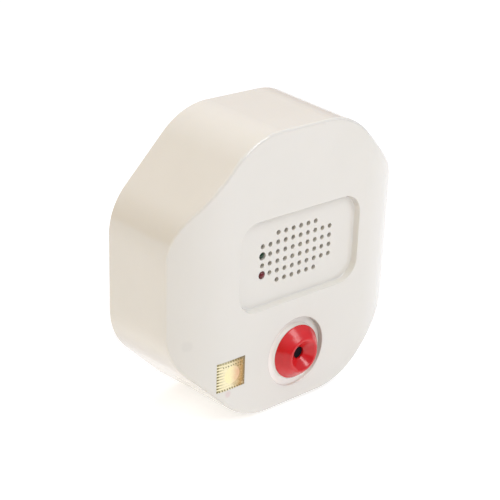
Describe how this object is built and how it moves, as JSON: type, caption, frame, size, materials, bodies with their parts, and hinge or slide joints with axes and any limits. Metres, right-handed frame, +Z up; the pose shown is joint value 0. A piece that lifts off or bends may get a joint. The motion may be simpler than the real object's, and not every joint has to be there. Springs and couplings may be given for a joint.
{
  "type": "gas leak detector",
  "caption": "Wall-mounted gas leak detector: octagonal plastic case with a sunk sound grille, indicator lamps, a red funnel-shaped sensor cap and keyhole back.",
  "frame": {"origin": "middle of the rear face, which lies on the wall", "axes": "+Y out of the rear face into the wall, so the front looks along -Y; +Z up; +X to the right of a person facing the front"},
  "size_m": [0.11, 0.0434, 0.11],
  "materials": {
    "housing": "smooth moulded plastic, warm white",
    "cover": "smooth moulded plastic, warm white",
    "screw_steel": "bright zinc plate",
    "board_green": "lacquered glass-fibre board",
    "cap_red": "glossy moulded plastic, red",
    "sensor_black": "moulded sensor base",
    "sensor_steel": "plain steel",
    "ceramic_white": "white ceramic tube",
    "filter_black": "black filter felt",
    "sounder_black": "black moulded case",
    "lamp_green": "tinted clear resin, green",
    "lamp_red": "tinted clear resin, red",
    "tinned_wire": "tinned wire",
    "gold_foil": "gold foil",
    "inlet_black": "black moulded socket",
    "plated_brass": "nickel-plated brass",
    "lead_skin": "plain wire insulation",
    "capacitor_sleeve": "dark blue sleeve",
    "black_resin": "black moulded resin",
    "tab_metal": "plain metal tab",
    "resistor_tan": "tan lacquer",
    "trimmer_blue": "blue moulded block"
  },
  "bodies": {
    "root": {"front_housing": "housing", "back_cover": "cover", "cover_screws": "screw_steel", "main_board": "board_green", "board_screws": "screw_steel", "sensor_cap": "cap_red", "sensor_base": "sensor_black", "sensor_pins": "tinned_wire", "sensor_can": "sensor_steel", "sensor_gauze": "sensor_steel", "sensor_element": "ceramic_white", "dust_filter": "filter_black", "sounder": "sounder_black", "led_green": "lamp_green", "led_red": "lamp_red", "led_leads": "tinned_wire", "foil_label": "gold_foil", "inlet_body": "inlet_black", "inlet_pin": "plated_brass", "inlet_nut": "plated_brass", "inlet_leads": "lead_skin", "capacitors": "capacitor_sleeve", "regulator_tab": "tab_metal", "regulator_body": "black_resin", "controller_chip": "black_resin", "chip_legs": "tinned_wire", "resistors": "resistor_tan", "trimmer": "trimmer_blue", "driver_transistor": "black_resin"}
  },
  "joints": []
}
